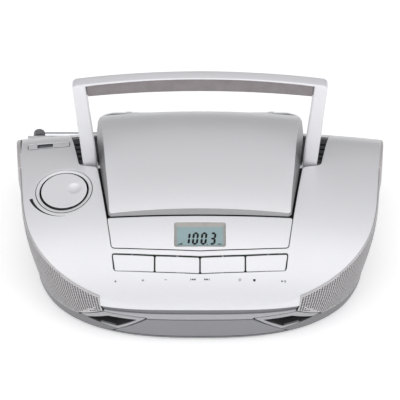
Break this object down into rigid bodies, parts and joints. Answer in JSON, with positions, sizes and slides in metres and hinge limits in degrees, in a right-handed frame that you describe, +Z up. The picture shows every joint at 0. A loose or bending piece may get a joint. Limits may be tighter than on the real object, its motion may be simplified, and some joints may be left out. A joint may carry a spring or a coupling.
{
  "type": "cd boombox",
  "caption": "Portable disc player with radio: crowned silver cabinet, top-loading disc lid, folding handle, rocker keys, volume knob, wrap-round speaker grilles and a telescopic antenna.",
  "frame": {"origin": "under the middle of the cabinet, on the floor", "axes": "+X to the right seen from the front, along the width; front towards -Y; +Z up"},
  "size_m": [0.3192, 0.2098, 0.197],
  "materials": {
    "silver_abs": "satin silver paint",
    "cap_abs": "satin",
    "grille_steel": "satin",
    "grey_abs": "satin",
    "clear_window": "clear",
    "black_plastic": "matte",
    "gear_plastic": "matte",
    "steel": "satin",
    "chrome": "polished",
    "rubber": "matte",
    "cone_paper": "matte",
    "board": "satin"
  },
  "bodies": {
    "cabinet": {"antenna_base": "silver_abs", "audio_socket": "black_plastic", "battery_contacts": "steel", "belly_panel": "grey_abs", "cabinet_screws": "steel", "cd_housing": "silver_abs", "deck_chassis": "steel", "deck_dampers": "rubber", "display_panel": "grey_abs", "front_trim": "silver_abs", "guide_rods": "steel", "handle_pins": "steel", "key_board": "board", "key_rods": "steel", "knob_collar": "silver_abs", "lcd_module": "black_plastic", "lcd_window": "clear_window", "left_grille": "grille_steel", "left_port": "grey_abs", "left_side_cap": "cap_abs", "left_speaker": "steel", "lid_catch": "black_plastic", "lid_hinge_pins": "steel", "lower_cabinet": "silver_abs", "main_board": "board", "mains_inlet": "black_plastic", "right_grille": "grille_steel", "right_port": "grey_abs", "right_side_cap": "cap_abs", "right_speaker": "steel", "rubber_feet": "rubber", "sled_motor": "steel", "speaker_cones": "cone_paper", "spindle_motor": "steel", "top_cover": "silver_abs", "transformer": "steel", "usb_frame": "silver_abs", "usb_socket": "steel", "volume_control": "black_plastic"},
    "lid": {"cd_lid": "silver_abs", "lid_liner": "black_plastic", "clamp_cover": "black_plastic"},
    "clamp": {"disc_clamp": "black_plastic"},
    "platter": {"turntable": "black_plastic"},
    "sled": {"pickup": "black_plastic"},
    "gear": {"sled_gear": "gear_plastic"},
    "pinion": {"motor_pinion": "gear_plastic"},
    "key_one": {"key_1": "silver_abs"},
    "key_two": {"key_2": "silver_abs"},
    "key_three": {"key_3": "silver_abs"},
    "key_four": {"key_4": "silver_abs"},
    "knob": {"volume_knob": "silver_abs"},
    "handle": {"handle_frame": "silver_abs", "handle_grip": "grey_abs"},
    "antenna": {"antenna_knuckle": "black_plastic", "antenna_tube_1": "chrome"},
    "tube_two": {"antenna_tube_2": "chrome"},
    "tube_three": {"antenna_tube_3": "chrome"},
    "tube_four": {"antenna_tube_4": "chrome"},
    "battery_lid": {"battery_door": "silver_abs"}
  },
  "joints": [
    {"name": "lid_hinge", "type": "hinge", "parent": "cabinet", "child": "lid", "pos_m": [0, 0.088, 0.092], "axis": [-1, 0, 0], "range_deg": [0, 36]},
    {"name": "clamp_spin", "type": "hinge", "parent": "lid", "child": "clamp", "pos_m": [0, 0.021, 0.1], "axis": [0, 0, 1], "continuous": true},
    {"name": "turntable_spin", "type": "hinge", "parent": "cabinet", "child": "platter", "pos_m": [0, 0.021, 0.0885], "axis": [0, 0, 1], "continuous": true},
    {"name": "pickup_slide", "type": "slide", "parent": "cabinet", "child": "sled", "axis": [1, 0, 0], "range_m": [0, 0.033]},
    {"name": "sled_gear_turn", "type": "hinge", "parent": "cabinet", "child": "gear", "pos_m": [0.0503, -0.0133, 0.0802], "axis": [0, 0, 1], "range_deg": [-240, 5]},
    {"name": "pinion_turn", "type": "hinge", "parent": "cabinet", "child": "pinion", "pos_m": [0.039, -0.0133, 0.0802], "axis": [0, 0, 1], "range_deg": [-5, 640]},
    {"name": "key_one_rock", "type": "hinge", "parent": "cabinet", "child": "key_one", "pos_m": [-0.05742, -0.07894, 0.07228], "axis": [-0.0333, 0.7398, 0.672], "range_deg": [-1.7, 1.7], "stiffness_Nm_per_rad": 0.4},
    {"name": "key_two_rock", "type": "hinge", "parent": "cabinet", "child": "key_two", "pos_m": [-0.01914, -0.08042, 0.07215], "axis": [-0.0115, 0.7189, 0.6951], "range_deg": [-1.7, 1.7], "stiffness_Nm_per_rad": 0.4},
    {"name": "key_three_rock", "type": "hinge", "parent": "cabinet", "child": "key_three", "pos_m": [0.01914, -0.08042, 0.07215], "axis": [0.0115, 0.7189, 0.6951], "range_deg": [-1.7, 1.7], "stiffness_Nm_per_rad": 0.4},
    {"name": "key_four_rock", "type": "hinge", "parent": "cabinet", "child": "key_four", "pos_m": [0.05742, -0.07894, 0.07228], "axis": [0.0333, 0.7398, 0.672], "range_deg": [-1.7, 1.7], "stiffness_Nm_per_rad": 0.4},
    {"name": "volume_turn", "type": "hinge", "parent": "cabinet", "child": "knob", "pos_m": [-0.1162, -0.014, 0.09692], "axis": [-0.0971, -0.1163, 0.9884], "range_deg": [-150, 150]},
    {"name": "handle_fold", "type": "hinge", "parent": "cabinet", "child": "handle", "pos_m": [0, 0.0205, 0.092], "axis": [-1, 0, 0], "range_deg": [0, 90]},
    {"name": "antenna_swivel", "type": "hinge", "parent": "cabinet", "child": "antenna", "pos_m": [-0.141, 0.1012, 0.058], "axis": [0, -1, 0], "range_deg": [0, 180]},
    {"name": "antenna_pull_two", "type": "slide", "parent": "antenna", "child": "tube_two", "axis": [1, 0, 0], "range_m": [0, 0.1]},
    {"name": "antenna_pull_three", "type": "slide", "parent": "tube_two", "child": "tube_three", "axis": [1, 0, 0], "range_m": [0, 0.1]},
    {"name": "antenna_pull_four", "type": "slide", "parent": "tube_three", "child": "tube_four", "axis": [1, 0, 0], "range_m": [0, 0.1]},
    {"name": "battery_door_hinge", "type": "hinge", "parent": "cabinet", "child": "battery_lid", "pos_m": [0, 0.0996, 0.0096], "axis": [-1, 0, 0], "range_deg": [0, 95]}
  ],
  "couplings": [
    {"joint": "sled_gear_turn", "follows": "pickup_slide", "rad_per_m": -125},
    {"joint": "pinion_turn", "follows": "pickup_slide", "rad_per_m": 333.33}
  ]
}
